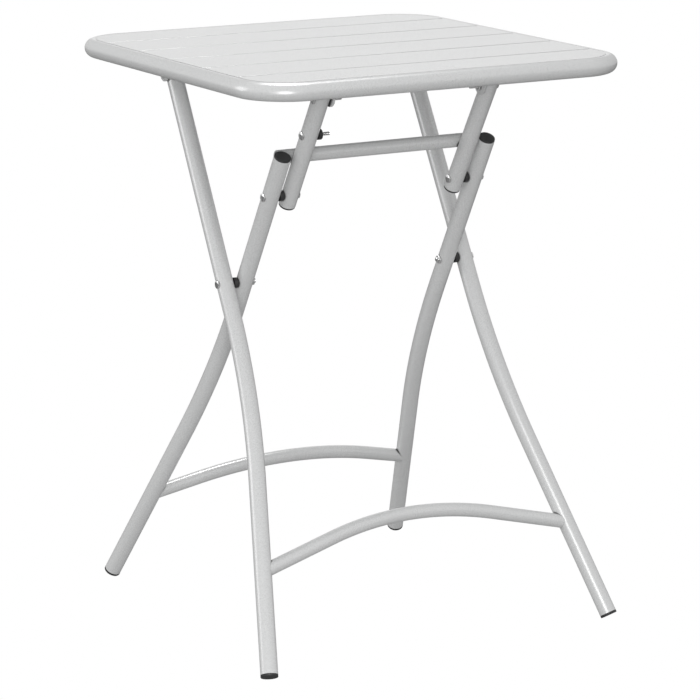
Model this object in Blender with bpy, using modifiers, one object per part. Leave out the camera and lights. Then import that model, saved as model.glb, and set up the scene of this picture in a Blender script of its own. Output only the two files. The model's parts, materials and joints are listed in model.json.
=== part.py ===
"""Folding bistro table: slatted square top on a scissor frame of round tube.

Metres, +Z up.  X runs along the slats, the feet of the outer frame stand at -Y and
those of the inner frame at +Y.  The origin is on the floor under the middle of the top.

The inner frame turns on the outer frame at the cross bolts.  The top is hinged to the
heads of the outer legs, and two struts hang from it near its front edge.  Standing, each
strut lies along an inner leg and against the crossbar, which keeps the linkage open.
"""
import math

import bmesh
import bpy
from mathutils import Matrix, Vector

# Overall
TOP_HEIGHT = 0.7104                # crest of the rim
SLAT_HEIGHT = 0.7101              # upper face of the slats
GAP = 0.0003                      # left between pieces that touch

# Tubes
LEG_RADIUS = 0.0106
RIM_RADIUS = 0.0111
STRETCHER_RADIUS = 0.0085
TUBE_WALL = 0.0014
TUBE_SIDES = 6                    # bevel resolution, which gives 16 sides

# Top
RIM_HALF = 0.2472                 # centre line of the rim tube
RIM_CORNER = 0.0573
CORNER_STEPS = 8
SLAT_COUNT = 6
SLAT_PITCH = 0.0861
SLAT_GROOVE = 0.003
SLAT_SHEET = 0.0010
SLAT_LIP = 0.008
SLAT_BEND = 0.0002
SLAT_LENGTH = RIM_HALF * 2 - 0.0026  # before its ends are cut to the rim
VENT_RADIUS = 0.0025

# Scissor frames, seen from the side
OUTER_LEAN = math.radians(29.33)  # from upright
INNER_LEAN = math.radians(29.91)
CROSS_Y = -0.0010
CROSS_Z = 0.4291
OUTER_X = 0.1718                  # at the cross bolt
INNER_X = 0.1450
STRUT_X = 0.1171
LEG_TOE = math.radians(0.46)      # the legs close in towards their tops

# Legs below the cross bolt bend outward along X
SPLAY_START = 0.0369
SPLAY_RADIUS = 1.12
SPLAY_ANGLE = math.radians(11.37)
SPLAY_STEPS = 6

# Pivots, as distances along the frames from the cross bolt
OUTER_HEAD = 0.2793
OUTER_OVERRUN = 0.012
INNER_TOP = 0.1957
STRUT_FOOT = 0.1340
STRUT_HEAD_Y = -0.1436
STRUT_HEAD_Z = 0.6715
STRUT_BELOW = 0.0165
STRUT_ABOVE = 0.0120
PEG_ABOVE = 0.0925                # stop peg, along the strut from its lower bolt

# Cross tubes
CROSSBAR_ALONG = 0.1786
CROSSBAR_RADIUS = 0.0086
CROSSBAR_HALF = 0.138
FRONT_CROWN = 0.3178              # distance of the crown below the cross bolt
FRONT_ARCH = 0.44                 # radius of the crown
REAR_CROWN = 0.3197
REAR_ARCH = 0.49
ARCH_ANGLE = math.radians(15.0)
ARCH_STEPS = 5

# Fasteners
BOLT_RADIUS = 0.0030
PEG_RADIUS = 0.0022
HOLE_RADIUS = 0.0034
HEX_RADIUS = 0.0054
HEAD_HEIGHT = 0.0018
NUT_HEIGHT = 0.0026
BOLT_TIP = 0.0022
SEAT_RADIUS = 0.0066
SEAT_DEPTH = 0.0009
SPACER_RADIUS = 0.0066
PEG_BUSH_LENGTH = 0.0048
LONG_BOLT_REACH = 0.0276          # end of the long bolts, from the strut's axis

# Hinge brackets
BRACKET_SHEET = 0.0030
BRACKET_CLEAR = 0.0004
BRACKET_TIP = 0.0104
BRACKET_HALF = 0.0150
BRACKET_SHOULDER = 0.0080
FLANGE_WIDTH = 0.0140
FLANGE_SHEET = 0.0015

# Plugs
PLUG_STEM = 0.006
FOOT_CAP = 0.0030
END_CAP = 0.0024
CAP_ROUND = 0.0005

OUTWARD_UP = Vector((0.0, math.sin(OUTER_LEAN), math.cos(OUTER_LEAN)))
INWARD_UP = Vector((0.0, -math.sin(INNER_LEAN), math.cos(INNER_LEAN)))
CROSS = Vector((0.0, CROSS_Y, CROSS_Z))
TOP_HINGE = CROSS + OUTWARD_UP * OUTER_HEAD
STRUT_LOWER = CROSS + INWARD_UP * STRUT_FOOT
STRUT_UPPER = Vector((0.0, STRUT_HEAD_Y, STRUT_HEAD_Z))
STRUT_UP = (STRUT_UPPER - STRUT_LOWER).normalized()
RIM_Z = TOP_HEIGHT - RIM_RADIUS
SIDES = {"left": -1, "right": 1}
X_AXIS = Vector((1.0, 0.0, 0.0))


def clear_scene():
    for obj in list(bpy.data.objects):
        bpy.data.objects.remove(obj, do_unlink=True)


def new_collection(name):
    collection = bpy.data.collections.new(name)
    bpy.context.scene.collection.children.link(collection)
    return collection


def new_material(name, color, metallic, roughness):
    material = bpy.data.materials.new(name)
    material.use_nodes = True
    shader = material.node_tree.nodes["Principled BSDF"]
    shader.inputs["Base Color"].default_value = (*color, 1.0)
    shader.inputs["Metallic"].default_value = metallic
    shader.inputs["Roughness"].default_value = roughness
    return material


clear_scene()
PARTS = new_collection("folding_bistro_table")
CUTTERS = new_collection("cutters")
COATED = new_material("silver_powder_coat", (0.62, 0.63, 0.63), 0.35, 0.42)
CHROME = new_material("bright_steel", (0.80, 0.80, 0.80), 1.0, 0.18)
BLACK = new_material("black_plastic", (0.02, 0.02, 0.02), 0.0, 0.50)


# ---------------------------------------------------------------- building blocks

def add_object(name, data, collection=PARTS, material=None):
    obj = bpy.data.objects.new(name, data)
    collection.objects.link(obj)
    if material is not None:
        data.materials.clear()
        data.materials.append(material)
    return obj


def as_cutter(obj):
    obj.hide_render = True
    obj.display_type = "WIRE"
    return obj


def baked(obj, name, collection, material=None):
    """Return the evaluated object as a mesh object, and remove the original."""
    bpy.context.view_layer.update()
    graph = bpy.context.evaluated_depsgraph_get()
    mesh = bpy.data.meshes.new_from_object(obj.evaluated_get(graph))
    shape = bmesh.new()
    shape.from_mesh(mesh)
    bmesh.ops.remove_doubles(shape, verts=shape.verts, dist=0.00001)
    shape.to_mesh(mesh)
    shape.free()
    result = add_object(name, mesh, collection, material)
    result.matrix_world = obj.matrix_world.copy()
    bpy.data.objects.remove(obj, do_unlink=True)
    mesh.shade_smooth()
    mesh.set_sharp_from_angle(angle=math.radians(40.0))
    return result


def path_curve(points, radius, cyclic=False, capped=False):
    curve = bpy.data.curves.new("path", "CURVE")
    curve.dimensions = "3D"
    curve.bevel_depth = radius
    curve.bevel_resolution = TUBE_SIDES
    curve.use_fill_caps = capped
    spline = curve.splines.new("POLY")
    spline.points.add(len(points) - 1)
    for point, place in zip(spline.points, points):
        point.co = (*place, 1.0)
    spline.use_cyclic_u = cyclic
    return add_object("path", curve, CUTTERS)


def hollow_tube(name, points, radius, cyclic=False):
    """A tube of even wall that is open at its ends."""
    path = path_curve(points, radius, cyclic)
    wall = path.modifiers.new("Wall", "SOLIDIFY")
    wall.thickness = TUBE_WALL
    wall.offset = -1.0
    return baked(path, name, PARTS, COATED)


def solid_path(name, points, radius, cyclic=False):
    """A solid along a path, to cut other pieces with."""
    return as_cutter(baked(path_curve(points, radius, cyclic, not cyclic), name, CUTTERS))


def outline_plate(name, points, thickness, collection=PARTS, material=None):
    """A flat plate, its outline in local XY and its thickness along local Z."""
    curve = bpy.data.curves.new(name, "CURVE")
    curve.dimensions = "2D"
    curve.fill_mode = "BOTH"
    curve.extrude = thickness / 2
    spline = curve.splines.new("POLY")
    spline.points.add(len(points) - 1)
    for point, (u, v) in zip(spline.points, points):
        point.co = (u, v, 0.0, 1.0)
    spline.use_cyclic_u = True
    return baked(add_object("outline", curve, CUTTERS), name, collection, material)


def aim(direction):
    """Rotation that points local +Z along a direction."""
    return direction.to_track_quat("Z", "Y").to_matrix().to_4x4()


def across(place):
    """Placement of a profile drawn in the YZ plane: local X, Y and Z lie along Y, Z and X."""
    turn = Matrix(((0, 0, 1, 0), (1, 0, 0, 0), (0, 1, 0, 0), (0, 0, 0, 1)))
    return Matrix.Translation(place) @ turn


def prism(name, sides, radius, start, end, collection, material=None):
    """A round or hexagonal bar between two points."""
    shape = bmesh.new()
    bmesh.ops.create_cone(
        shape, cap_ends=True, segments=sides, radius1=radius, radius2=radius,
        depth=(end - start).length)
    mesh = bpy.data.meshes.new(name)
    shape.to_mesh(mesh)
    shape.free()
    obj = add_object(name, mesh, collection, material)
    obj.matrix_world = Matrix.Translation((start + end) / 2) @ aim((end - start).normalized())
    return obj


def turned(name, profile, place, direction, material, closed=False):
    """A turned piece: its profile runs down its outer side, top to bottom."""
    mesh = bpy.data.meshes.new(name)
    edges = [(i, i + 1) for i in range(len(profile) - 1)]
    if closed:
        edges.append((len(profile) - 1, 0))
    mesh.from_pydata([(radius, 0.0, height) for radius, height in profile], edges, [])
    obj = add_object(name, mesh, PARTS, material)
    screw = obj.modifiers.new("Turn", "SCREW")
    screw.steps = 24
    screw.render_steps = 24
    screw.use_merge_vertices = True
    screw.merge_threshold = 0.00001
    screw.use_smooth_shade = True
    obj.matrix_world = Matrix.Translation(place) @ aim(direction)
    return obj


def boolean(obj, other, operation="DIFFERENCE"):
    modifier = obj.modifiers.new(operation.title(), "BOOLEAN")
    modifier.operation = operation
    modifier.object = other
    return obj


def bolt_hole(obj, pivot, x, radius=HOLE_RADIUS):
    """Drill a tube across at a pivot."""
    reach = X_AXIS * (LEG_RADIUS * 2)
    centre = pivot + X_AXIS * x
    name = f"drill_{obj.name}_{len(obj.modifiers)}"
    boolean(obj, as_cutter(prism(name, 16, radius, centre - reach, centre + reach, CUTTERS)))


def bolt_seat(obj, pivot, x, side):
    """Press a shallow flat into a tube for a bolt head or a nut."""
    crest = pivot + X_AXIS * (x + side * (LEG_RADIUS - SEAT_DEPTH))
    name = f"seat_{obj.name}_{len(obj.modifiers)}"
    outside = crest + X_AXIS * (side * LEG_RADIUS)
    boolean(obj, as_cutter(prism(name, 24, SEAT_RADIUS, crest, outside, CUTTERS)))


def new_pivot(name, place, parent=None):
    pivot = bpy.data.objects.new(name, None)
    PARTS.objects.link(pivot)
    pivot.location = place
    bpy.context.view_layer.update()
    attach(pivot, parent)
    return pivot


def attach(obj, parent):
    if parent is None:
        return
    bpy.context.view_layer.update()
    obj.parent = parent
    obj.matrix_parent_inverse = parent.matrix_world.inverted()


# ---------------------------------------------------------------- paths

def leg_up(up, side):
    """Direction of the straight upper part of a leg."""
    return up * math.cos(LEG_TOE) - X_AXIS * (side * math.sin(LEG_TOE))


def toed(x, along):
    """Where a leg's axis stands along X, at a distance above the cross bolt."""
    return x - along * math.tan(LEG_TOE)


def leg_path(up, x, side, top):
    """Centre line of a leg: straight past the cross bolt, then bent outward to the floor."""
    outward = X_AXIS * side
    origin = CROSS + outward * x
    straight = leg_up(up, side)
    bend = origin - straight * SPLAY_START
    points = [origin + straight * top, bend]
    for step in range(1, SPLAY_STEPS + 1):
        angle = LEG_TOE + (SPLAY_ANGLE - LEG_TOE) * step / SPLAY_STEPS
        down = up * (-SPLAY_RADIUS * (math.sin(angle) - math.sin(LEG_TOE)))
        out = outward * (SPLAY_RADIUS * (math.cos(LEG_TOE) - math.cos(angle)))
        points.append(bend + down + out)
    heading = up * -math.cos(SPLAY_ANGLE) + outward * math.sin(SPLAY_ANGLE)
    foot_z = (LEG_RADIUS - CAP_ROUND) * math.sqrt(1 - heading.z ** 2)
    foot = points[-1] + heading * ((foot_z - points[-1].z) / heading.z)
    return points, foot, heading


def arch_path(up, leg_x, crown, radius):
    """Centre line of a stretcher, from the axis of one leg to the axis of the other."""
    half = radius * math.sin(ARCH_ANGLE)
    drop = radius * (1 - math.cos(ARCH_ANGLE))
    points = []
    for step in range(-ARCH_STEPS, ARCH_STEPS + 1):
        angle = ARCH_ANGLE * step / ARCH_STEPS
        below = crown + radius * (1 - math.cos(angle))
        points.append(CROSS - up * below + X_AXIS * (radius * math.sin(angle)))
    arch_slope = math.tan(ARCH_ANGLE)
    leg_slope = math.tan(SPLAY_ANGLE)
    bend = SPLAY_START + SPLAY_RADIUS * (math.sin(SPLAY_ANGLE) - math.sin(LEG_TOE))
    leg_x = toed(leg_x, -SPLAY_START) - leg_slope * bend
    leg_x += SPLAY_RADIUS * (math.cos(LEG_TOE) - math.cos(SPLAY_ANGLE))
    arch_low = crown + drop - half * arch_slope
    reach = (leg_x + leg_slope * arch_low) / (1 - leg_slope * arch_slope)
    low = arch_low + reach * arch_slope
    points.insert(0, CROSS - up * low - X_AXIS * reach)
    points.append(CROSS - up * low + X_AXIS * reach)
    return points


def rounded_square(half, corner, steps):
    points = []
    for quarter in range(4):
        start = math.pi / 2 * quarter
        corner_x = (half - corner) * (1 if quarter in (0, 3) else -1)
        corner_y = (half - corner) * (1 if quarter in (0, 1) else -1)
        for step in range(steps + 1):
            angle = start + math.pi / 2 * step / steps
            points.append((corner_x + corner * math.cos(angle),
                           corner_y + corner * math.sin(angle)))
    return points


# ---------------------------------------------------------------- pieces

def plug(name, place, direction, cap, cap_radius, pivot):
    """A plastic plug: a cap over the tube's end and a stem inside it."""
    stem = LEG_RADIUS - TUBE_WALL - GAP
    profile = [
        (0.0, 0.0), (cap_radius - CAP_ROUND, 0.0), (cap_radius, -CAP_ROUND),
        (cap_radius, -cap), (stem, -cap), (stem, -cap - PLUG_STEM), (0.0, -cap - PLUG_STEM)]
    attach(turned(name, profile, place, direction, BLACK), pivot)


def spacer(name, place, side, length, hole, pivot):
    """A round plastic spacer around a bolt, starting at a place and running along X."""
    edge = SPACER_RADIUS * 0.08
    profile = [
        (SPACER_RADIUS - edge, length), (SPACER_RADIUS, length - edge), (SPACER_RADIUS, edge),
        (SPACER_RADIUS - edge, 0.0), (hole, 0.0), (hole, length)]
    attach(turned(name, profile, place, X_AXIS * side, BLACK, closed=True), pivot)


def bolt(name, pivot_point, head_x, end_x, radius, pivot):
    """A hexagon bolt along X, its head seated at head_x and its end at end_x."""
    side = 1 if head_x > end_x else -1
    seat = pivot_point + X_AXIS * head_x
    end = pivot_point + X_AXIS * end_x
    head_top = seat + X_AXIS * (side * HEAD_HEIGHT)
    head = prism(name, 6, HEX_RADIUS, seat, head_top, PARTS, CHROME)
    shank = prism(f"shank_{name}", 16, radius, end, seat + X_AXIS * (side * HEAD_HEIGHT / 2), CUTTERS)
    attach(boolean(head, as_cutter(shank), "UNION"), pivot)


def nut(name, pivot_point, seat_x, side, pivot):
    """A low hexagon nut along X, its inner face at seat_x."""
    seat = pivot_point + X_AXIS * seat_x
    top = seat + X_AXIS * (side * NUT_HEIGHT)
    body = prism(name, 6, HEX_RADIUS, seat, top, PARTS, CHROME)
    over = X_AXIS * (side * NUT_HEIGHT)
    bore = prism(f"bore_{name}", 16, BOLT_RADIUS + GAP, seat - over, top + over, CUTTERS)
    attach(boolean(body, as_cutter(bore)), pivot)


def bracket(name, hinge, inner_x, outer_x, flange_side, pivot):
    """A hinge bracket: a tab that hangs under a slat, and a flange that is welded to it."""
    top = SLAT_HEIGHT - SLAT_SHEET - GAP - hinge.z
    outline = [(-BRACKET_HALF, top), (-BRACKET_HALF, BRACKET_SHOULDER)]
    for step in range(9):
        angle = math.radians(205.0 + 130.0 * step / 8)
        outline.append((BRACKET_TIP * math.cos(angle), BRACKET_TIP * math.sin(angle)))
    outline += [(BRACKET_HALF, BRACKET_SHOULDER), (BRACKET_HALF, top)]
    middle = hinge + X_AXIS * ((inner_x + outer_x) / 2)
    tab = outline_plate(name, outline, abs(outer_x - inner_x), PARTS, COATED)
    tab.matrix_world = across(middle)
    reach = X_AXIS * BRACKET_SHEET * 2
    hole = prism(f"hole_{name}", 16, HOLE_RADIUS, middle - reach, middle + reach, CUTTERS)
    boolean(tab, as_cutter(hole))
    flange = [(-BRACKET_HALF, top - FLANGE_SHEET), (BRACKET_HALF, top - FLANGE_SHEET),
              (BRACKET_HALF, top), (-BRACKET_HALF, top)]
    plate = outline_plate(f"flange_{name}", flange, FLANGE_WIDTH, CUTTERS)
    plate.matrix_world = across(middle + X_AXIS * (flange_side * FLANGE_WIDTH / 2))
    attach(boolean(tab, as_cutter(plate), "UNION"), pivot)


def slat_section(half):
    """Cross-section of a slat: thin sheet with both long edges folded down."""
    top = SLAT_HEIGHT
    outer = []
    inner = []
    for side in (-1, 1):
        for step in range(4):
            turn = step if side < 0 else 3 - step
            angle = math.pi / 2 * turn / 3
            bend = SLAT_BEND + SLAT_SHEET
            u = half - bend + bend * math.cos(angle)
            outer.append((side * u, top - bend + bend * math.sin(angle)))
            u = half - bend + SLAT_BEND * math.cos(angle)
            inner.append((side * u, top - bend + SLAT_BEND * math.sin(angle)))
    low = top - SLAT_LIP
    return ([(-half, low)] + outer + [(half, low), (half - SLAT_SHEET, low)]
            + inner[::-1] + [(-half + SLAT_SHEET, low)])


def make_top(pivot):
    ring = [Vector((x, y, RIM_Z)) for x, y in rounded_square(RIM_HALF, RIM_CORNER, CORNER_STEPS)]
    rim = hollow_tube("top_rim", ring, RIM_RADIUS, cyclic=True)
    vent_top = Vector((RIM_HALF, 0.0, RIM_Z))
    vent_low = vent_top - Vector((0.0, 0.0, RIM_RADIUS * 2))
    boolean(rim, as_cutter(prism("vent", 12, VENT_RADIUS, vent_top, vent_low, CUTTERS)))
    attach(rim, pivot)

    rim_cutter = solid_path("rim_cutter", ring, RIM_RADIUS + GAP, cyclic=True)
    field = outline_plate(
        "slat_field", rounded_square(RIM_HALF, RIM_CORNER, CORNER_STEPS), SLAT_LIP * 4, CUTTERS)
    field.location.z = TOP_HEIGHT
    as_cutter(field)
    section = slat_section((SLAT_PITCH - SLAT_GROOVE) / 2)
    for index in range(SLAT_COUNT):
        y = SLAT_PITCH * (index - (SLAT_COUNT - 1) / 2)
        slat = outline_plate(f"slat_{index + 1}", section, SLAT_LENGTH, PARTS, COATED)
        slat.matrix_world = across(Vector((0.0, y, 0.0)))
        if index in (0, SLAT_COUNT - 1):
            boolean(slat, field, "INTERSECT")
        boolean(slat, rim_cutter)
        attach(slat, pivot)

    rear = toed(OUTER_X, OUTER_HEAD) + LEG_RADIUS + BRACKET_CLEAR
    front = STRUT_X - LEG_RADIUS - BRACKET_CLEAR
    for name, side in SIDES.items():
        bracket(f"rear_bracket_{name}", TOP_HINGE, side * rear, side * (rear + BRACKET_SHEET),
                side, pivot)
        bracket(f"front_bracket_{name}", STRUT_UPPER, side * (front - BRACKET_SHEET),
                side * front, -side, pivot)


def make_legs(prefix, up, x, top_end, top_cap, pivot):
    """Both legs of a frame, with their plugs, and the cutters that follow them."""
    legs = {}
    cutters = []
    for name, side in SIDES.items():
        points, foot, heading = leg_path(up, x, side, top_end - top_cap)
        end = foot - heading * FOOT_CAP
        legs[name] = hollow_tube(f"{prefix}_leg_{name}", points + [end], LEG_RADIUS)
        cutters.append(solid_path(f"cope_{prefix}_{name}", points + [end], LEG_RADIUS + GAP))
        plug(f"{prefix}_foot_{name}", foot, heading, FOOT_CAP, LEG_RADIUS, pivot)
        straight = leg_up(up, side)
        tip = CROSS + X_AXIS * (side * x) + straight * top_end
        plug(f"{prefix}_top_plug_{name}", tip, straight, top_cap, LEG_RADIUS - GAP, pivot)
        bolt_hole(legs[name], CROSS, side * x)
    return legs, cutters


def make_stretcher(name, path, cutters, pivot):
    stretcher = hollow_tube(name, path, STRETCHER_RADIUS)
    for cutter in cutters:
        boolean(stretcher, cutter)
    attach(stretcher, pivot)


def make_outer_frame(hinge_pivot):
    legs, cutters = make_legs("outer", OUTWARD_UP, OUTER_X, OUTER_HEAD + OUTER_OVERRUN, END_CAP, None)
    path = arch_path(OUTWARD_UP, OUTER_X, FRONT_CROWN, FRONT_ARCH)
    make_stretcher("front_stretcher", path, cutters, None)
    seat = LEG_RADIUS - SEAT_DEPTH + GAP
    hinge_x = toed(OUTER_X, OUTER_HEAD)
    for name, side in SIDES.items():
        leg = legs[name]
        bolt_hole(leg, TOP_HINGE, side * hinge_x)
        bolt_seat(leg, CROSS, side * OUTER_X, side)
        bolt_seat(leg, TOP_HINGE, side * hinge_x, -side)
        nut_x = INNER_X - seat
        bolt(f"cross_bolt_{name}", CROSS, side * (OUTER_X + seat),
             side * (nut_x - NUT_HEIGHT - BOLT_TIP), BOLT_RADIUS, None)
        nut(f"cross_nut_{name}", CROSS, side * nut_x, -side, None)
        start = INNER_X + LEG_RADIUS + GAP
        length = OUTER_X - LEG_RADIUS - GAP - start
        spacer(f"cross_spacer_{name}", CROSS + X_AXIS * (side * start), side, length,
               HOLE_RADIUS, None)
        head_x = hinge_x + LEG_RADIUS + BRACKET_CLEAR + BRACKET_SHEET + GAP
        nut_x = hinge_x - seat
        bolt(f"hinge_bolt_{name}", TOP_HINGE, side * head_x,
             side * (nut_x - NUT_HEIGHT - BOLT_TIP), BOLT_RADIUS, hinge_pivot)
        nut(f"hinge_nut_{name}", TOP_HINGE, side * nut_x, -side, hinge_pivot)


def make_inner_frame(pivot):
    legs, cutters = make_legs("inner", INWARD_UP, INNER_X, INNER_TOP, END_CAP, pivot)
    path = arch_path(INWARD_UP, INNER_X, REAR_CROWN, REAR_ARCH)
    make_stretcher("rear_stretcher", path, cutters, pivot)
    behind = Vector((0.0, math.cos(INNER_LEAN), math.sin(INNER_LEAN)))
    centre = (CROSS + INWARD_UP * CROSSBAR_ALONG
              + behind * (LEG_RADIUS + CROSSBAR_RADIUS + GAP))
    ends = [centre - X_AXIS * CROSSBAR_HALF, centre + X_AXIS * CROSSBAR_HALF]
    attach(hollow_tube("crossbar", ends, CROSSBAR_RADIUS), pivot)
    seat = LEG_RADIUS - SEAT_DEPTH + GAP
    bolt_x = toed(INNER_X, STRUT_FOOT)
    for name, side in SIDES.items():
        leg = legs[name]
        attach(leg, pivot)
        bolt_hole(leg, STRUT_LOWER, side * bolt_x)
        bolt_seat(leg, CROSS, side * INNER_X, -side)
        bolt_seat(leg, STRUT_LOWER, side * bolt_x, side)
        bolt(f"strut_bolt_{name}", STRUT_LOWER, side * (bolt_x + seat),
             side * (bolt_x - LEG_RADIUS), BOLT_RADIUS, pivot)


def make_strut(name, side, pivot):
    start = STRUT_LOWER - STRUT_UP * STRUT_BELOW
    end = STRUT_UPPER + STRUT_UP * STRUT_ABOVE
    at = X_AXIS * (side * STRUT_X)
    tube = hollow_tube(
        f"strut_{name}", [at + start + STRUT_UP * END_CAP, at + end - STRUT_UP * END_CAP], LEG_RADIUS)
    plug(f"strut_foot_plug_{name}", at + start, -STRUT_UP, END_CAP, LEG_RADIUS - GAP, pivot)
    plug(f"strut_head_plug_{name}", at + end, STRUT_UP, END_CAP, LEG_RADIUS - GAP, pivot)
    for hinge in (STRUT_LOWER, STRUT_UPPER):
        bolt_hole(tube, hinge, side * STRUT_X)
    bolt_seat(tube, STRUT_LOWER, side * STRUT_X, -side)
    bolt_seat(tube, STRUT_UPPER, side * STRUT_X, side)
    attach(tube, pivot)

    seat = LEG_RADIUS - SEAT_DEPTH + GAP
    bracket_face = STRUT_X - LEG_RADIUS - BRACKET_CLEAR - BRACKET_SHEET - GAP
    bolt(f"head_bolt_{name}", STRUT_UPPER, side * (STRUT_X + seat),
         side * (STRUT_X - LONG_BOLT_REACH), BOLT_RADIUS, pivot)
    nut(f"head_nut_{name}", STRUT_UPPER, side * bracket_face, -side, pivot)
    gap_start = STRUT_X + LEG_RADIUS + GAP
    length = toed(INNER_X, STRUT_FOOT) - LEG_RADIUS - GAP - gap_start
    spacer(f"strut_spacer_{name}", STRUT_LOWER + X_AXIS * (side * gap_start), side, length,
           HOLE_RADIUS, pivot)
    bolt(f"barrel_nut_{name}", STRUT_LOWER, side * (STRUT_X - seat),
         side * (gap_start + length), BOLT_RADIUS, pivot)
    return tube


def make_peg(tube, side, pivot):
    """The stop peg through one strut, above the crossbar."""
    place = STRUT_LOWER + STRUT_UP * PEG_ABOVE
    bolt_hole(tube, place, side * STRUT_X, PEG_RADIUS + GAP)
    bolt_seat(tube, place, side * STRUT_X, side)
    seat = LEG_RADIUS - SEAT_DEPTH + GAP
    bolt("peg_bolt", place, side * (STRUT_X + seat), side * (STRUT_X - LONG_BOLT_REACH),
         PEG_RADIUS, pivot)
    bush_start = place + X_AXIS * (side * (STRUT_X - LEG_RADIUS - GAP))
    spacer("peg_bush", bush_start, -side, PEG_BUSH_LENGTH, PEG_RADIUS + GAP, pivot)


def make_table():
    top_pivot = new_pivot("pivot_top", TOP_HINGE)
    inner_pivot = new_pivot("pivot_inner_frame", CROSS)
    make_top(top_pivot)
    make_outer_frame(top_pivot)
    make_inner_frame(inner_pivot)
    for name, side in SIDES.items():
        strut_pivot = new_pivot(f"pivot_strut_{name}", STRUT_UPPER, top_pivot)
        tube = make_strut(name, side, strut_pivot)
        if name == "left":
            make_peg(tube, side, strut_pivot)


make_table()
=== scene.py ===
"""Looks of the folding bistro table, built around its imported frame.

Metres, in the frame of the CAD: +Z up, X along the slats.  The fixed joints come from
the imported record.  Every shown piece is a smooth mesh that stands for its CAD node.
"""
import json
import math

import bmesh
import bpy
from mathutils import Matrix, Vector


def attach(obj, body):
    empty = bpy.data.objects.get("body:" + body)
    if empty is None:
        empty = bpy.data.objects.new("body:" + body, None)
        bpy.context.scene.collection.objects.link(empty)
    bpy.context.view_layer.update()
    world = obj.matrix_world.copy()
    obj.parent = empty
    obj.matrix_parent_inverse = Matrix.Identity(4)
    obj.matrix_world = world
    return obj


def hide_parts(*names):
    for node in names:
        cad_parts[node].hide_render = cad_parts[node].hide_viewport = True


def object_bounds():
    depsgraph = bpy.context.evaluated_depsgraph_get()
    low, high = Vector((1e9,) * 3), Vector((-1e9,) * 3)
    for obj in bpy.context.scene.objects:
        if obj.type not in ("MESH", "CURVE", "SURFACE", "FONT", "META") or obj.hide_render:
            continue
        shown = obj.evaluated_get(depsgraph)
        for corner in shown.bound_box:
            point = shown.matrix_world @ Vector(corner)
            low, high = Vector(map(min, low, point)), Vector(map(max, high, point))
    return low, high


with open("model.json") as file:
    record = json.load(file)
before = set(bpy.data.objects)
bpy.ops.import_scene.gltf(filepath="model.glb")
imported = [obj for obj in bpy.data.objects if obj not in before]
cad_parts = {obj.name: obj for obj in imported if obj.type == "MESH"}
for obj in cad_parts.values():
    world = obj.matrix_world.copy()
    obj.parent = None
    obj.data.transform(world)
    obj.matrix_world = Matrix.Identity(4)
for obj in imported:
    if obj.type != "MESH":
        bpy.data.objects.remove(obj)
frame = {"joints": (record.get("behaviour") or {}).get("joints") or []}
CAD_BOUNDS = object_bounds()

# Tubes
LEG_RADIUS = 0.0106
RIM_RADIUS = 0.0111
STRETCHER_RADIUS = 0.0085
CROSSBAR_RADIUS = 0.0086
TUBE_WALL = 0.0014
TUBE_LIP = 0.0003
SIDES_ROUND = 56
GAP = 0.0003
SHARP_ANGLE = math.radians(35.0)  # an edge sharper than this isn't shaded smooth

# Top
RIM_HALF = 0.2472                 # centre line of the rim tube
RIM_CORNER = 0.0573
CORNER_STEPS = 20
SLAT_COUNT = 6
SLAT_PITCH = 0.0861
SLAT_GROOVE = 0.003
SLAT_SHEET = 0.0010
SLAT_BELOW_RIM = 0.0003
SLAT_LIP = 0.008
SLAT_BEND = 0.0002
SLAT_BEND_STEPS = 6
SLAT_SUPPORT = 0.0004             # flat strip kept beside each fold
SLAT_CURVE_STEPS = 16

# Scissor frames
OUTER_LEAN = math.radians(29.33)
INNER_LEAN = math.radians(29.91)
OUTER_X = 0.1718                  # at the cross bolt
INNER_X = 0.1450
STRUT_X = 0.1171
LEG_TOE = math.radians(0.46)      # the legs close in towards their tops
SPLAY_START = 0.0369
SPLAY_RADIUS = 1.12
SPLAY_ANGLE = math.radians(11.37)
SPLAY_STEPS = 24
OUTER_HEAD = 0.2793
OUTER_TOP = 0.2913
INNER_TOP = 0.1957
STRUT_FOOT = 0.1340
STRUT_BELOW = 0.0165
STRUT_ABOVE = 0.0120
PEG_ABOVE = 0.0925
CROSSBAR_ALONG = 0.1786
CROSSBAR_HALF = 0.138
FRONT_CROWN = 0.3178
FRONT_ARCH = 0.44
REAR_CROWN = 0.3197
REAR_ARCH = 0.49
ARCH_ANGLE = math.radians(15.0)
ARCH_STEPS = 20

# Fasteners
BOLT_RADIUS = 0.0030
PEG_RADIUS = 0.0022
HOLE_RADIUS = 0.0034
HEX_RADIUS = 0.0054
HEX_STEPS = 48
HEX_CHAMFER = math.tan(math.radians(30.0))
HEX_FLAT = HEX_RADIUS * math.cos(math.pi / 6)
HEX_FACE = HEX_FLAT * 0.96        # the flat disc left inside the chamfer
HEAD_HEIGHT = 0.0018
NUT_HEIGHT = 0.0026
BOLT_TIP = 0.0022
THREAD_PITCH = 0.0010
THREAD_DEPTH = 0.00035
THREAD_PROFILE = ((0.0, THREAD_DEPTH), (0.35, 0.0), (0.5, 0.0), (0.85, THREAD_DEPTH))
THREAD = 0.008                    # length of thread on most bolts
LONG_THREAD = 0.016
SHORT_THREAD = 0.003
SEAT_DEPTH = 0.0009
SPACER_RADIUS = 0.0066
SPACER_EDGE = 0.0005
SPACER_EASE = SPACER_EDGE * 0.3
PEG_BUSH_LENGTH = 0.0048
LONG_BOLT_REACH = 0.0276

# Hinge brackets
BRACKET_SHEET = 0.0030
BRACKET_CLEAR = 0.0004
BRACKET_TIP = 0.0104
BRACKET_HALF = 0.0150
BRACKET_SHOULDER = 0.0080
BRACKET_EDGE = 0.0004
BRACKET_ARC_START = math.radians(205.0)
BRACKET_ARC = math.radians(130.0)
BRACKET_STEPS = 24
FLANGE_WIDTH = 0.0140
FLANGE_SHEET = 0.0015

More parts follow.
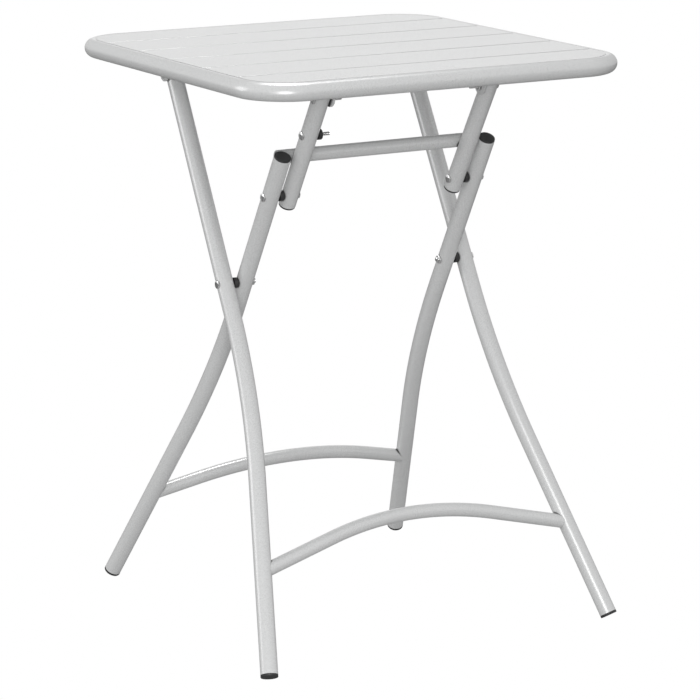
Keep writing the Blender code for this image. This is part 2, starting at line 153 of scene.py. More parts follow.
# Plugs
PLUG_STEM = 0.006
FOOT_CAP = 0.0030
END_CAP = 0.0024
CAP_ROUND = 0.0005
CAP_EASE = 0.4                    # where the rounding's middle point lies, as a share of it

PIVOTS = {joint["name"]: Vector(joint["pos_m"]) for joint in frame["joints"]}
CROSS = PIVOTS["fold"]
TOP_HINGE = PIVOTS["top_tilt"]
STRUT_UPPER = PIVOTS["strut_left_swing"]
TOP_HEIGHT = CAD_BOUNDS[1].z
SLAT_HEIGHT = TOP_HEIGHT - SLAT_BELOW_RIM
RIM_Z = TOP_HEIGHT - RIM_RADIUS
X_AXIS = Vector((1.0, 0.0, 0.0))
Z_AXIS = Vector((0.0, 0.0, 1.0))
OUTWARD_UP = Vector((0.0, math.sin(OUTER_LEAN), math.cos(OUTER_LEAN)))
INWARD_UP = Vector((0.0, -math.sin(INNER_LEAN), math.cos(INNER_LEAN)))
STRUT_LOWER = CROSS + INWARD_UP * STRUT_FOOT
STRUT_UP = (STRUT_UPPER - STRUT_LOWER).normalized()
SIDES = {"left": -1, "right": 1}


# ---------------------------------------------------------------- materials

NOISE_LOW = 0.3                   # a noise texture mostly stays between these
NOISE_HIGH = 0.7
# Painted shade in narrow gaps, from ambient occlusion: how far it looks, and the open-sky
# shares where it is darkest and where it ends.
CREVICE_REACH = 0.0035
CREVICE_CLOSED = 0.5              # share of open sky at which a gap is darkest
CREVICE_OPEN = 0.9


def new_material(name, metallic):
    """A material, its node tree and shader, and the object coordinates for its noises."""
    material = bpy.data.materials.new(name)
    material.use_nodes = True
    tree = material.node_tree
    shader = tree.nodes["Principled BSDF"]
    shader.inputs["Metallic"].default_value = metallic
    place = tree.nodes.new("ShaderNodeTexCoord").outputs["Object"]
    return material, tree, shader, place


def noise(tree, scale, detail, coordinates):
    node = tree.nodes.new("ShaderNodeTexNoise")
    node.inputs["Scale"].default_value = scale
    node.inputs["Detail"].default_value = detail
    tree.links.new(coordinates, node.inputs["Vector"])
    return node.outputs["Fac"]


def spread(tree, value, low, high):
    """Map a noise's middle range onto low to high."""
    node = tree.nodes.new("ShaderNodeMapRange")
    node.inputs["From Min"].default_value = NOISE_LOW
    node.inputs["From Max"].default_value = NOISE_HIGH
    node.inputs["To Min"].default_value = low
    node.inputs["To Max"].default_value = high
    tree.links.new(value, node.inputs["Value"])
    return node.outputs["Result"]


def math_node(tree, operation, first, second):
    node = tree.nodes.new("ShaderNodeMath")
    node.operation = operation
    tree.links.new(first, node.inputs[0])
    tree.links.new(second, node.inputs[1])
    return node.outputs["Value"]


def tinted(tree, color, factor):
    """A colour made lighter or darker by a factor."""
    node = tree.nodes.new("ShaderNodeVectorMath")
    node.operation = "SCALE"
    node.inputs[0].default_value = color
    tree.links.new(factor, node.inputs["Scale"])
    return node.outputs["Vector"]


def painted_gap_shade(tree, low, high):
    """A value that is high on open faces and low in narrow gaps: painted shade, from ambient
    occlusion, set by how little open sky a point sees.
    """
    node = tree.nodes.new("ShaderNodeAmbientOcclusion")
    node.inputs["Distance"].default_value = CREVICE_REACH
    painted_shade_map = tree.nodes.new("ShaderNodeMapRange")
    painted_shade_map.inputs["From Min"].default_value = CREVICE_CLOSED
    painted_shade_map.inputs["From Max"].default_value = CREVICE_OPEN
    painted_shade_map.inputs["To Min"].default_value = low
    painted_shade_map.inputs["To Max"].default_value = high
    tree.links.new(node.outputs["AO"], painted_shade_map.inputs["Value"])
    return painted_shade_map.outputs["Result"]


def bump(tree, shader, height, distance, strength):
    node = tree.nodes.new("ShaderNodeBump")
    node.inputs["Distance"].default_value = distance
    node.inputs["Strength"].default_value = strength
    tree.links.new(height, node.inputs["Height"])
    tree.links.new(node.outputs["Normal"], shader.inputs["Normal"])


def powder_coat():
    """Satin silver-grey coating: fine grain, faint clouding, orange peel, and painted shade
    that darkens its colour and gloss in narrow gaps.
    """
    color = (0.70, 0.705, 0.705)
    material, tree, shader, place = new_material("silver_powder_coat", 0.08)
    grain = noise(tree, 1500.0, 2.0, place)
    clouds = noise(tree, 9.0, 3.0, place)
    peel = noise(tree, 420.0, 3.0, place)
    shade = math_node(
        tree, "MULTIPLY", spread(tree, grain, 0.90, 1.10), spread(tree, clouds, 0.99, 1.01))
    # Painted shade: the base colour darkens in narrow gaps, such as the slats' grooves and
    # where tubes meet, by ambient occlusion.
    shade = math_node(tree, "MULTIPLY", shade, painted_gap_shade(tree, 0.15, 1.0))
    tree.links.new(tinted(tree, color, shade), shader.inputs["Base Color"])
    tree.links.new(spread(tree, grain, 0.24, 0.32), shader.inputs["Roughness"])
    # Painted shade: the gloss is turned down in the same narrow gaps, so folds and joints
    # there catch less highlight.
    tree.links.new(painted_gap_shade(tree, 0.0, 0.9), shader.inputs["Specular IOR Level"])
    bump(tree, shader, peel, 0.00004, 0.5)
    return material


def bright_steel():
    """Zinc-plated steel: bright, with faint turning marks and slightly dulled patches."""
    color = (0.95, 0.95, 0.95)
    material, tree, shader, place = new_material("bright_steel", 1.0)
    patches = noise(tree, 260.0, 3.0, place)
    marks = noise(tree, 2400.0, 2.0, place)
    tree.links.new(tinted(tree, color, spread(tree, patches, 0.93, 1.04)),
                   shader.inputs["Base Color"])
    tree.links.new(spread(tree, patches, 0.08, 0.18), shader.inputs["Roughness"])
    bump(tree, shader, marks, 0.00001, 0.4)
    return material


def black_plastic():
    """Moulded black plastic with a fine matt texture."""
    color = (0.030, 0.030, 0.031)
    material, tree, shader, place = new_material("black_plastic", 0.0)
    texture = noise(tree, 1900.0, 2.0, place)
    scuffs = noise(tree, 130.0, 4.0, place)
    tree.links.new(tinted(tree, color, spread(tree, scuffs, 0.85, 1.2)),
                   shader.inputs["Base Color"])
    tree.links.new(spread(tree, scuffs, 0.44, 0.58), shader.inputs["Roughness"])
    bump(tree, shader, texture, 0.00003, 0.6)
    return material


COATED = powder_coat()
STEEL = bright_steel()
BLACK = black_plastic()


# ---------------------------------------------------------------- meshes

def skin(rings, closed):
    """Join rings of points with quads: round to the start if closed, else capped."""
    shape = bmesh.new()
    rows = [[shape.verts.new(point) for point in points] for points in rings]
    count = len(rows[0])
    pairs = list(zip(rows, rows[1:]))
    if closed:
        pairs.append((rows[-1], rows[0]))
    for low, high in pairs:
        for i in range(count):
            j = (i + 1) % count
            shape.faces.new((low[i], low[j], high[j], high[i]))
    if not closed:
        shape.faces.new(rows[0][::-1])
        shape.faces.new(rows[-1])
    bmesh.ops.recalc_face_normals(shape, faces=shape.faces)
    return shape


def add_piece(name, shape, material, body, node=None):
    """Make a mesh piece that rides on a body and stands for a CAD node."""
    mesh = bpy.data.meshes.new(name)
    shape.to_mesh(mesh)
    shape.free()
    mesh.materials.append(material)
    mesh.shade_smooth()
    mesh.set_sharp_from_angle(angle=SHARP_ANGLE)
    obj = bpy.data.objects.new(f"{name}_smooth", mesh)
    bpy.context.scene.collection.objects.link(obj)
    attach(obj, body)
    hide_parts(node or name)
    return obj


def ring(centre, u, v, radius, sides=SIDES_ROUND):
    angles = [2 * math.pi * i / sides for i in range(sides)]
    return [centre + u * (radius * math.cos(a)) + v * (radius * math.sin(a)) for a in angles]


def tangents(points, cyclic):
    """Unit direction at each point of a path."""
    result = []
    count = len(points)
    for i in range(count):
        before = points[i - 1] if cyclic or i > 0 else points[i]
        after = points[(i + 1) % count] if cyclic or i < count - 1 else points[i]
        result.append((after - before).normalized())
    return result


def tube_rings(points, normal, radius, cyclic=False):
    """Rings along a path that lies in the plane with that normal."""
    return [ring(point, direction.cross(normal), normal, radius)
            for point, direction in zip(points, tangents(points, cyclic))]


def open_tube(points, normal, radius):
    """A tube with a wall, its cut ends eased a little."""
    first = (points[1] - points[0]).normalized() * TUBE_LIP
    last = (points[-2] - points[-1]).normalized() * TUBE_LIP
    outside = [points[0] + first] + points[1:-1] + [points[-1] + last]
    outer = tube_rings(outside, normal, radius)
    inner = tube_rings(points, normal, radius - TUBE_WALL)
    eased = tube_rings(points, normal, radius - TUBE_LIP)
    return skin(outer + [eased[-1]] + inner[::-1] + [eased[0]], True)


def coped(points, direction, axis_point, axis):
    """Slide a ring's points along a direction to the surface of a leg."""
    flat = direction - axis * direction.dot(axis)
    result = []
    for point in points:
        off = point - axis_point
        off = off - axis * off.dot(axis)
        a = flat.dot(flat)
        b = off.dot(flat)
        c = off.dot(off) - LEG_RADIUS ** 2
        step = (-b - math.sqrt(max(b * b - a * c, 0.0))) / a
        result.append(point + direction * step)
    return result


def coped_tube(points, normal, radius, legs):
    """A tube whose two ends are shaped to the legs that it is welded between."""
    outer = tube_rings(points, normal, radius)
    inner = tube_rings(points, normal, radius - TUBE_WALL)
    for end, (axis_point, axis) in ((0, legs[0]), (-1, legs[1])):
        beside = 1 if end == 0 else -2
        direction = (points[end] - points[beside]).normalized()
        back = points[beside]
        for rings in (outer, inner):
            moved = [p - direction * (points[end] - back).length for p in rings[end]]
            rings[end] = coped(moved, direction, axis_point, axis)
    return skin(outer + inner[::-1], True)


def turned(profile, place, direction, closed):
    """A turned piece from its profile of (radius, height) pairs."""
    u = direction.orthogonal().normalized()
    v = direction.cross(u)
    rings = [ring(place + direction * height, u, v, radius) for radius, height in profile]
    return skin(rings, closed)


def hexagon_ring(centre, side, height, limit=None):
    """A ring round a hexagon bar along X, lowered towards its corners by the chamfer."""
    points = []
    for i in range(HEX_STEPS):
        angle = 2 * math.pi * i / HEX_STEPS
        within = (angle % (math.pi / 3)) - math.pi / 6
        radius = HEX_FLAT / math.cos(within)
        drop = 0.0 if limit is None else (radius - limit) * HEX_CHAMFER
        along = X_AXIS * (side * (height - drop))
        points.append(centre + along + Vector((0.0, radius * math.cos(angle),
                                               radius * math.sin(angle))))
    return points


def x_ring(centre, offset, radius):
    return ring(centre + X_AXIS * offset, Vector((0.0, 1.0, 0.0)), Z_AXIS, radius, HEX_STEPS)


def bolt_shape(pivot, head_x, end_x, radius, threaded):
    """A hexagon bolt along X: chamfered head, shank, and a thread cut towards its end."""
    side = 1 if head_x > end_x else -1
    seat = pivot + X_AXIS * head_x
    rings = [x_ring(seat, side * HEAD_HEIGHT, HEX_FACE),
             hexagon_ring(seat, side, HEAD_HEIGHT, HEX_FACE),
             hexagon_ring(seat, side, 0.0),
             x_ring(seat, 0.0, radius)]
    length = abs(head_x - end_x)
    start = length - threaded
    along = start
    while along < length - THREAD_PITCH:
        for share, depth in THREAD_PROFILE:
            rings.append(x_ring(seat, -side * (along + share * THREAD_PITCH), radius - depth))
        along += THREAD_PITCH
    rings.append(x_ring(seat, -side * (length - THREAD_DEPTH), radius))
    rings.append(x_ring(seat, -side * length, radius - THREAD_DEPTH * 1.5))
    return skin(rings, False)


def nut_shape(pivot, seat_x, side):
    seat = pivot + X_AXIS * seat_x
    bore = BOLT_RADIUS + GAP
    rings = [hexagon_ring(seat, side, 0.0),
             hexagon_ring(seat, side, NUT_HEIGHT, HEX_FACE),
             x_ring(seat, side * NUT_HEIGHT, HEX_FACE),
             x_ring(seat, side * NUT_HEIGHT, bore + THREAD_DEPTH),
             x_ring(seat, side * (NUT_HEIGHT - THREAD_DEPTH), bore),
             x_ring(seat, 0.0, bore)]
    return skin(rings, True)


# ---------------------------------------------------------------- paths

def leg_up(up, side):
    """Direction of the straight upper part of a leg."""
    return up * math.cos(LEG_TOE) - X_AXIS * (side * math.sin(LEG_TOE))


def toed(x, along):
    """Where a leg's axis stands along X, at a distance above the cross bolt."""
    return x - along * math.tan(LEG_TOE)


def leg_path(up, x, side, top):
    """Centre line of a leg, its foot, and the way that it points there."""
    outward = X_AXIS * side
    origin = CROSS + outward * x
    straight = leg_up(up, side)
    bend = origin - straight * SPLAY_START
    points = [origin + straight * top]
    for step in range(SPLAY_STEPS + 1):
        angle = LEG_TOE + (SPLAY_ANGLE - LEG_TOE) * step / SPLAY_STEPS
        down = up * (-SPLAY_RADIUS * (math.sin(angle) - math.sin(LEG_TOE)))
        out = outward * (SPLAY_RADIUS * (math.cos(LEG_TOE) - math.cos(angle)))
        points.append(bend + down + out)
    heading = up * -math.cos(SPLAY_ANGLE) + outward * math.sin(SPLAY_ANGLE)
    foot_z = (LEG_RADIUS - CAP_ROUND) * math.sqrt(1 - heading.z ** 2)
    foot = points[-1] + heading * ((foot_z - points[-1].z) / heading.z)
    return points, foot, heading


def arch_path(up, leg_x, crown, radius):
    """Centre line of a stretcher, from the axis of one leg to the axis of the other."""
    half = radius * math.sin(ARCH_ANGLE)
    drop = radius * (1 - math.cos(ARCH_ANGLE))
    points = []
    for step in range(-ARCH_STEPS, ARCH_STEPS + 1):
        angle = ARCH_ANGLE * step / ARCH_STEPS
        below = crown + radius * (1 - math.cos(angle))
        points.append(CROSS - up * below + X_AXIS * (radius * math.sin(angle)))
    arch_slope = math.tan(ARCH_ANGLE)
    leg_slope = math.tan(SPLAY_ANGLE)
    bend = SPLAY_START + SPLAY_RADIUS * (math.sin(SPLAY_ANGLE) - math.sin(LEG_TOE))
    leg_x = toed(leg_x, -SPLAY_START) - leg_slope * bend
    leg_x += SPLAY_RADIUS * (math.cos(LEG_TOE) - math.cos(SPLAY_ANGLE))
    arch_low = crown + drop - half * arch_slope
    reach = (leg_x + leg_slope * arch_low) / (1 - leg_slope * arch_slope)
    low = arch_low + reach * arch_slope
    points.insert(0, CROSS - up * low - X_AXIS * reach)
    points.append(CROSS - up * low + X_AXIS * reach)
    return points


def rounded_square():
    points = []
    centre = RIM_HALF - RIM_CORNER
    for quarter in range(4):
        corner_x = centre * (1 if quarter in (0, 3) else -1)
        corner_y = centre * (1 if quarter in (0, 1) else -1)
        for step in range(CORNER_STEPS + 1):
            angle = math.pi / 2 * (quarter + step / CORNER_STEPS)
            points.append(Vector((corner_x + RIM_CORNER * math.cos(angle),
                                  corner_y + RIM_CORNER * math.sin(angle), RIM_Z)))
    return points


# ---------------------------------------------------------------- the top

def rim_inset(z):
    """How far inside the rim's centre line its surface is at a height, with the gap."""
    radius = RIM_RADIUS + GAP
    return math.sqrt(radius ** 2 - (z - RIM_Z) ** 2)


def slat_end(y, z):
    """Where a slat's edge along X meets the rim."""
    centre = RIM_HALF - RIM_CORNER
    inset = rim_inset(z)
    if abs(y) <= centre:
        return RIM_HALF - inset
    reach = RIM_CORNER - inset
    return centre + math.sqrt(max(reach ** 2 - (abs(y) - centre) ** 2, 0.0))


def fold_section(edge, side):
    """Outer and inner (y, z) points of a slat's folded edge, from its lip to its face."""
    outer = [(edge, SLAT_HEIGHT - SLAT_LIP)]
    inner = [(edge - side * SLAT_SHEET, SLAT_HEIGHT - SLAT_LIP)]
    bend = SLAT_BEND + SLAT_SHEET
    for step in range(SLAT_BEND_STEPS + 1):
        angle = math.pi / 2 * step / SLAT_BEND_STEPS
        for points, radius in ((outer, bend), (inner, SLAT_BEND)):
            points.append((edge - side * (bend - radius * math.cos(angle)),
                           SLAT_HEIGHT - bend + radius * math.sin(angle)))
    flat = edge - side * (bend + SLAT_SUPPORT)
    outer.append((flat, SLAT_HEIGHT))
    inner.append((flat, SLAT_HEIGHT - SLAT_SHEET))
    return outer, inner


def rim_section(edge, side):
    """Outer and inner (y, z) points of a slat's face where it follows the rim's corners."""
    centre = RIM_HALF - RIM_CORNER
    outer = []
    inner = []
    for step in range(SLAT_CURVE_STEPS + 1):
        angle = math.pi / 2 * (1 - step / SLAT_CURVE_STEPS)
        for points, z in ((outer, SLAT_HEIGHT), (inner, SLAT_HEIGHT - SLAT_SHEET)):
            reach = RIM_CORNER - rim_inset(z)
            points.append((side * (centre + reach * math.sin(angle)), z))
    return outer, inner


def slat_shape(index):
    y = SLAT_PITCH * (index - (SLAT_COUNT - 1) / 2)
    half = (SLAT_PITCH - SLAT_GROOVE) / 2
    outer = []
    inner = []
    for side in (-1, 1):
        at_rim = index == (0 if side < 0 else SLAT_COUNT - 1)
        section = rim_section if at_rim else fold_section
        outer_half, inner_half = section(y + side * half, side)
        outer += outer_half if side < 0 else outer_half[::-1]
        inner += inner_half if side < 0 else inner_half[::-1]
    rings = []
    for (y_out, z_out), (y_in, z_in) in zip(outer, inner):
        x_out = slat_end(y_out, z_out)
        x_in = slat_end(y_in, z_in)
        rings.append([Vector((-x_out, y_out, z_out)), Vector((x_out, y_out, z_out)),
                      Vector((x_in, y_in, z_in)), Vector((-x_in, y_in, z_in))])
    return skin(rings, False)


def bracket_shape(hinge, inner_x, outer_x, flange_side):
    """A hinge bracket: a tab that hangs under a slat, folded over to a flange."""
    top = SLAT_HEIGHT - SLAT_SHEET - GAP - hinge.z
    outline = [(-BRACKET_HALF, top), (-BRACKET_HALF, BRACKET_SHOULDER)]
    for step in range(BRACKET_STEPS + 1):
        angle = BRACKET_ARC_START + BRACKET_ARC * step / BRACKET_STEPS
        outline.append((BRACKET_TIP * math.cos(angle), BRACKET_TIP * math.sin(angle)))
    outline += [(BRACKET_HALF, BRACKET_SHOULDER), (BRACKET_HALF, top)]
    faces = [[hinge + Vector((x, y, z)) for y, z in outline] for x in (inner_x, outer_x)]
    shape = skin(faces, False)
    middle = (inner_x + outer_x) / 2
    low = hinge + Vector((middle, 0.0, top - FLANGE_SHEET))
    far = X_AXIS * (flange_side * FLANGE_WIDTH)
    corners = [low + Vector((0.0, y, z)) for y, z in (
        (-BRACKET_HALF, 0.0), (BRACKET_HALF, 0.0),
        (BRACKET_HALF, FLANGE_SHEET), (-BRACKET_HALF, FLANGE_SHEET))]
    plate = skin([corners, [corner + far for corner in corners]], False)
    return shape, plate


def ease_edges(obj, width):
    """Round the sharp edges of a plate."""
    modifier = obj.modifiers.new("Edges", "BEVEL")
    modifier.width = width
    modifier.segments = 3
    modifier.limit_method = "ANGLE"
    modifier.angle_limit = SHARP_ANGLE
    modifier.harden_normals = True


def add_bracket(name, hinge, inner_x, outer_x, flange_side):
    tab, plate = bracket_shape(hinge, inner_x, outer_x, flange_side)
    piece = add_piece(name, tab, COATED, "tabletop")
    ease_edges(piece, BRACKET_EDGE)
    flange = add_piece(f"{name}_flange", plate, COATED, "tabletop", name)
    ease_edges(flange, BRACKET_EDGE)


def make_top():
    rim = skin(tube_rings(rounded_square(), Z_AXIS, RIM_RADIUS, cyclic=True), True)
    add_piece("top_rim", rim, COATED, "tabletop")
    for index in range(SLAT_COUNT):
        add_piece(f"slat_{index + 1}", slat_shape(index), COATED, "tabletop")
    rear = toed(OUTER_X, OUTER_HEAD) + LEG_RADIUS + BRACKET_CLEAR
    front = STRUT_X - LEG_RADIUS - BRACKET_CLEAR
    for name, side in SIDES.items():
        add_bracket(f"rear_bracket_{name}", TOP_HINGE,
                    side * rear, side * (rear + BRACKET_SHEET), side)
        add_bracket(f"front_bracket_{name}", STRUT_UPPER,
                    side * (front - BRACKET_SHEET), side * front, -side)


# ---------------------------------------------------------------- frames

def add_plug(name, place, direction, cap, cap_radius, body):
    """A plastic plug: a cap over the tube's end and a stem inside it."""
    stem = LEG_RADIUS - TUBE_WALL - GAP
    profile = [
        (cap_radius * 0.5, 0.0), (cap_radius - CAP_ROUND, 0.0),
        (cap_radius - CAP_ROUND * CAP_EASE, -CAP_ROUND * CAP_EASE), (cap_radius, -CAP_ROUND),
        (cap_radius, -cap), (stem, -cap), (stem, -cap - PLUG_STEM)]
    add_piece(name, turned(profile, place, direction, False), BLACK, body)


def add_spacer(name, place, side, length, hole, body):
    edge = SPACER_EDGE
    profile = [
        (hole, length), (SPACER_RADIUS - edge, length),
        (SPACER_RADIUS - SPACER_EASE, length - SPACER_EASE), (SPACER_RADIUS, length - edge),
        (SPACER_RADIUS, edge), (SPACER_RADIUS - SPACER_EASE, SPACER_EASE),
        (SPACER_RADIUS - edge, 0.0), (hole, 0.0)]
    add_piece(name, turned(profile, place, X_AXIS * side, True), BLACK, body)


def add_legs(prefix, up, x, top_end, body):
    """Both legs of a frame with their plugs, and the axes of their straight lower ends."""
    lower = []
    for name, side in SIDES.items():
        points, foot, heading = leg_path(up, x, side, top_end - END_CAP)
        points.append(foot - heading * FOOT_CAP)
        normal = up.cross(X_AXIS).normalized()
        add_piece(f"{prefix}_leg_{name}", open_tube(points, normal, LEG_RADIUS), COATED, body)
        add_plug(f"{prefix}_foot_{name}", foot, heading, FOOT_CAP, LEG_RADIUS, body)
        straight = leg_up(up, side)
        tip = CROSS + X_AXIS * (side * x) + straight * top_end
        add_plug(f"{prefix}_top_plug_{name}", tip, straight, END_CAP, LEG_RADIUS - GAP, body)
        lower.append((foot, heading))
    return lower


def add_stretcher(name, up, path, lower, body):
    normal = up.cross(X_AXIS).normalized()
    shape = coped_tube(path, normal, STRETCHER_RADIUS, lower)
    add_piece(name, shape, COATED, body)


def make_outer_frame():
    body = "outer_frame"
    lower = add_legs("outer", OUTWARD_UP, OUTER_X, OUTER_TOP, body)
    path = arch_path(OUTWARD_UP, OUTER_X, FRONT_CROWN, FRONT_ARCH)
    add_stretcher("front_stretcher", OUTWARD_UP, path, lower, body)
    seat = LEG_RADIUS - SEAT_DEPTH + GAP
    hinge_x = toed(OUTER_X, OUTER_HEAD)
    for name, side in SIDES.items():
        nut_x = INNER_X - seat
        shape = bolt_shape(CROSS, side * (OUTER_X + seat),
                           side * (nut_x - NUT_HEIGHT - BOLT_TIP), BOLT_RADIUS, THREAD)
        add_piece(f"cross_bolt_{name}", shape, STEEL, body)
        add_piece(f"cross_nut_{name}", nut_shape(CROSS, side * nut_x, -side), STEEL, body)
        start = INNER_X + LEG_RADIUS + GAP
        add_spacer(f"cross_spacer_{name}", CROSS + X_AXIS * (side * start), side,
                   OUTER_X - LEG_RADIUS - GAP - start, HOLE_RADIUS, body)
        head_x = hinge_x + LEG_RADIUS + BRACKET_CLEAR + BRACKET_SHEET + GAP
        nut_x = hinge_x - seat
        shape = bolt_shape(TOP_HINGE, side * head_x,
                           side * (nut_x - NUT_HEIGHT - BOLT_TIP), BOLT_RADIUS, THREAD)
        add_piece(f"hinge_bolt_{name}", shape, STEEL, "tabletop")
        add_piece(f"hinge_nut_{name}", nut_shape(TOP_HINGE, side * nut_x, -side),
                  STEEL, "tabletop")


def make_inner_frame():
    body = "inner_frame"
    lower = add_legs("inner", INWARD_UP, INNER_X, INNER_TOP, body)
    path = arch_path(INWARD_UP, INNER_X, REAR_CROWN, REAR_ARCH)
    add_stretcher("rear_stretcher", INWARD_UP, path, lower, body)
    behind = Vector((0.0, math.cos(INNER_LEAN), math.sin(INNER_LEAN)))
    centre = (CROSS + INWARD_UP * CROSSBAR_ALONG
              + behind * (LEG_RADIUS + CROSSBAR_RADIUS + GAP))
    ends = [centre - X_AXIS * CROSSBAR_HALF, centre + X_AXIS * CROSSBAR_HALF]
    add_piece("crossbar", open_tube(ends, Z_AXIS, CROSSBAR_RADIUS), COATED, body)
    seat = LEG_RADIUS - SEAT_DEPTH + GAP
    bolt_x = toed(INNER_X, STRUT_FOOT)
    for name, side in SIDES.items():
        shape = bolt_shape(STRUT_LOWER, side * (bolt_x + seat),
                           side * (bolt_x - LEG_RADIUS), BOLT_RADIUS, SHORT_THREAD)
        add_piece(f"strut_bolt_{name}", shape, STEEL, body)


def make_strut(name, side):
    body = f"strut_{name}_body"
    at = X_AXIS * (side * STRUT_X)
    start = at + STRUT_LOWER - STRUT_UP * STRUT_BELOW
    end = at + STRUT_UPPER + STRUT_UP * STRUT_ABOVE
    path = [start + STRUT_UP * END_CAP, end - STRUT_UP * END_CAP]
    normal = STRUT_UP.cross(X_AXIS).normalized()
    add_piece(f"strut_{name}", open_tube(path, normal, LEG_RADIUS), COATED, body)
    add_plug(f"strut_foot_plug_{name}", start, -STRUT_UP, END_CAP, LEG_RADIUS - GAP, body)
    add_plug(f"strut_head_plug_{name}", end, STRUT_UP, END_CAP, LEG_RADIUS - GAP, body)

    seat = LEG_RADIUS - SEAT_DEPTH + GAP
    bracket_face = STRUT_X - LEG_RADIUS - BRACKET_CLEAR - BRACKET_SHEET - GAP
    shape = bolt_shape(STRUT_UPPER, side * (STRUT_X + seat),
                       side * (STRUT_X - LONG_BOLT_REACH), BOLT_RADIUS, LONG_THREAD)
    add_piece(f"head_bolt_{name}", shape, STEEL, body)
    add_piece(f"head_nut_{name}", nut_shape(STRUT_UPPER, side * bracket_face, -side),
              STEEL, body)
    gap_start = STRUT_X + LEG_RADIUS + GAP
    length = toed(INNER_X, STRUT_FOOT) - LEG_RADIUS - GAP - gap_start
    add_spacer(f"strut_spacer_{name}", STRUT_LOWER + X_AXIS * (side * gap_start), side,
               length, HOLE_RADIUS, body)
    shape = bolt_shape(STRUT_LOWER, side * (STRUT_X - seat),
                       side * (gap_start + length), BOLT_RADIUS, SHORT_THREAD)
    add_piece(f"barrel_nut_{name}", shape, STEEL, body)


def make_peg(side):
    """The stop peg through one strut, above the crossbar."""
    body = "strut_left_body"
    place = STRUT_LOWER + STRUT_UP * PEG_ABOVE
    seat = LEG_RADIUS - SEAT_DEPTH + GAP
    shape = bolt_shape(place, side * (STRUT_X + seat), side * (STRUT_X - LONG_BOLT_REACH),
                       PEG_RADIUS, THREAD)
    add_piece("peg_bolt", shape, STEEL, body)
    bush = place + X_AXIS * (side * (STRUT_X - LEG_RADIUS - GAP))
    add_spacer("peg_bush", bush, -side, PEG_BUSH_LENGTH, PEG_RADIUS + GAP, body)


# ---------------------------------------------------------------- studio

CAMERA_YAW = 0.520466
CAMERA_PITCH = 0.227321
CAMERA_ROLL = 0.000436
CAMERA_AIM = Vector((-0.07063, -0.13188, 0.3606))
CAMERA_DISTANCE = 3.858707
CAMERA_LENS = 164.166             # millimetres, as the sensor
CAMERA_SENSOR = 36.0
FLOOR_SIZE = 16.0
FLOOR_TONE = 0.20                 # how much of the light that reaches it the floor returns
ROOM_LIGHT = 0.68
LIGHT_AIM = Vector((0.0, 0.0, 0.4))
LIGHT_DISTANCE = 3.2
LIGHT_SIZE = 1.6
LIGHTS = {                        # turn from the camera's side, elevation, watts
    "front": (0.0, 5.0, 39.0),
    "left": (270.0, 15.0, 16.0),
    "back": (180.0, 12.0, 3.1),
    "sheen": (180.0, 74.0, 90.0),
}
SHEEN = "sheen"                   # lights up the glossy reflections only
GLOW_SIZE = 1.4                   # light that comes up off the floor round the feet
GLOW_HEIGHT = 0.001
GLOW_POWER = 0.7


def make_camera():
    forward = Vector((math.sin(CAMERA_YAW) * math.cos(CAMERA_PITCH),
                      math.cos(CAMERA_YAW) * math.cos(CAMERA_PITCH),
                      -math.sin(CAMERA_PITCH)))
    right = forward.cross(Z_AXIS).normalized()
    down = forward.cross(right)
    cos, sin = math.cos(CAMERA_ROLL), math.sin(CAMERA_ROLL)
    right, down = right * cos + down * sin, down * cos - right * sin
    data = bpy.data.cameras.new("camera")
    data.lens = CAMERA_LENS
    data.sensor_width = CAMERA_SENSOR
    camera = bpy.data.objects.new("camera", data)
    bpy.context.scene.collection.objects.link(camera)
    turn = Matrix((right, -down, -forward)).transposed().to_4x4()
    camera.matrix_world = Matrix.Translation(CAMERA_AIM - forward * CAMERA_DISTANCE) @ turn
    bpy.context.scene.camera = camera


def disk_light(name, size, power, place, away):
    data = bpy.data.lights.new(name, "AREA")
    data.shape = "DISK"
    data.size = size
    data.energy = power
    light = bpy.data.objects.new(name, data)
    bpy.context.scene.collection.objects.link(light)
    light.visible_camera = False
    light.visible_diffuse = name != SHEEN
    turn = away.to_track_quat("Z", "Y").to_matrix().to_4x4()
    light.matrix_world = Matrix.Translation(place) @ turn


def add_light(name, turn, elevation, power):
    """A soft round light; turn is its angle from the camera's side of the table."""
    angle = math.radians(turn) - CAMERA_YAW
    height = math.radians(elevation)
    away = Vector((math.sin(angle) * math.cos(height), -math.cos(angle) * math.cos(height),
                   math.sin(height)))
    disk_light(name, LIGHT_SIZE, power, LIGHT_AIM + away * LIGHT_DISTANCE, away)


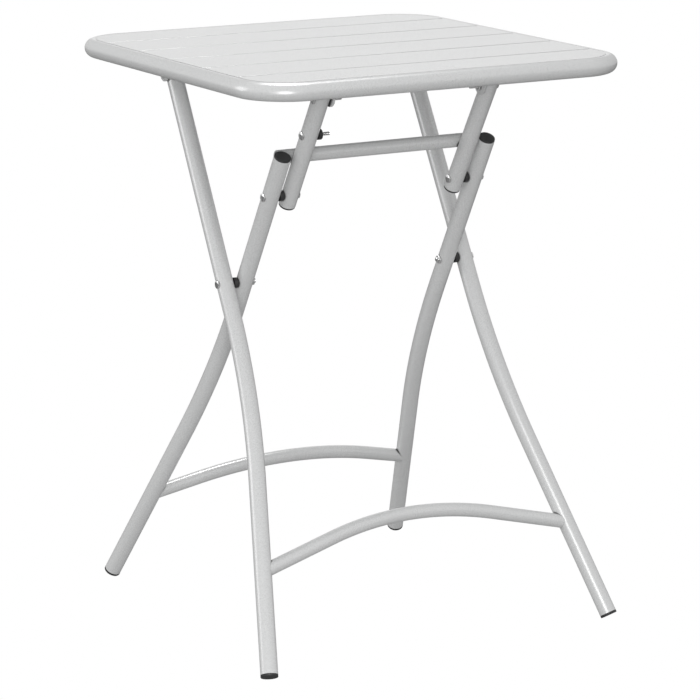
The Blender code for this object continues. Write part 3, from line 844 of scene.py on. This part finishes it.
def make_floor():
    """A plain white floor that shows no shadow, and throws back only some light."""
    mesh = bpy.data.meshes.new("floor")
    half = FLOOR_SIZE / 2
    mesh.from_pydata([(-half, -half, 0), (half, -half, 0), (half, half, 0), (-half, half, 0)],
                     [], [(0, 1, 2, 3)])
    floor = bpy.data.objects.new("floor", mesh)
    bpy.context.scene.collection.objects.link(floor)
    material = bpy.data.materials.new("floor")
    material.use_nodes = True
    tree = material.node_tree
    tree.nodes.clear()
    seen = tree.nodes.new("ShaderNodeEmission")
    seen.inputs["Strength"].default_value = 1.0
    thrown = tree.nodes.new("ShaderNodeBsdfDiffuse")
    thrown.inputs["Color"].default_value = (FLOOR_TONE, FLOOR_TONE, FLOOR_TONE, 1.0)
    rays = tree.nodes.new("ShaderNodeLightPath")
    mix = tree.nodes.new("ShaderNodeMixShader")
    out = tree.nodes.new("ShaderNodeOutputMaterial")
    tree.links.new(rays.outputs["Is Camera Ray"], mix.inputs["Fac"])
    tree.links.new(thrown.outputs["BSDF"], mix.inputs[1])
    tree.links.new(seen.outputs["Emission"], mix.inputs[2])
    tree.links.new(mix.outputs["Shader"], out.inputs["Surface"])
    mesh.materials.append(material)


def make_world():
    """White behind the object, and the same soft light from all round it."""
    world = bpy.data.worlds.new("studio")
    bpy.context.scene.world = world
    world.use_nodes = True
    tree = world.node_tree
    tree.nodes.clear()
    glow = tree.nodes.new("ShaderNodeBackground")
    glow.inputs["Strength"].default_value = ROOM_LIGHT
    white = tree.nodes.new("ShaderNodeBackground")
    for node in (glow, white):
        node.inputs["Color"].default_value = (1.0, 1.0, 1.0, 1.0)
    rays = tree.nodes.new("ShaderNodeLightPath")
    mix = tree.nodes.new("ShaderNodeMixShader")
    out = tree.nodes.new("ShaderNodeOutputWorld")
    tree.links.new(rays.outputs["Is Camera Ray"], mix.inputs["Fac"])
    tree.links.new(glow.outputs["Background"], mix.inputs[1])
    tree.links.new(white.outputs["Background"], mix.inputs[2])
    tree.links.new(mix.outputs["Shader"], out.inputs["Surface"])


def make_studio():
    bpy.context.scene.view_settings.view_transform = "Standard"
    make_camera()
    make_floor()
    make_world()
    for name, (turn, elevation, power) in LIGHTS.items():
        add_light(name, turn, elevation, power)
    disk_light("glow", GLOW_SIZE, GLOW_POWER, Z_AXIS * GLOW_HEIGHT, -Z_AXIS)


make_top()
make_outer_frame()
make_inner_frame()
for side_name, side_sign in SIDES.items():
    make_strut(side_name, side_sign)
make_peg(SIDES["left"])
make_studio()
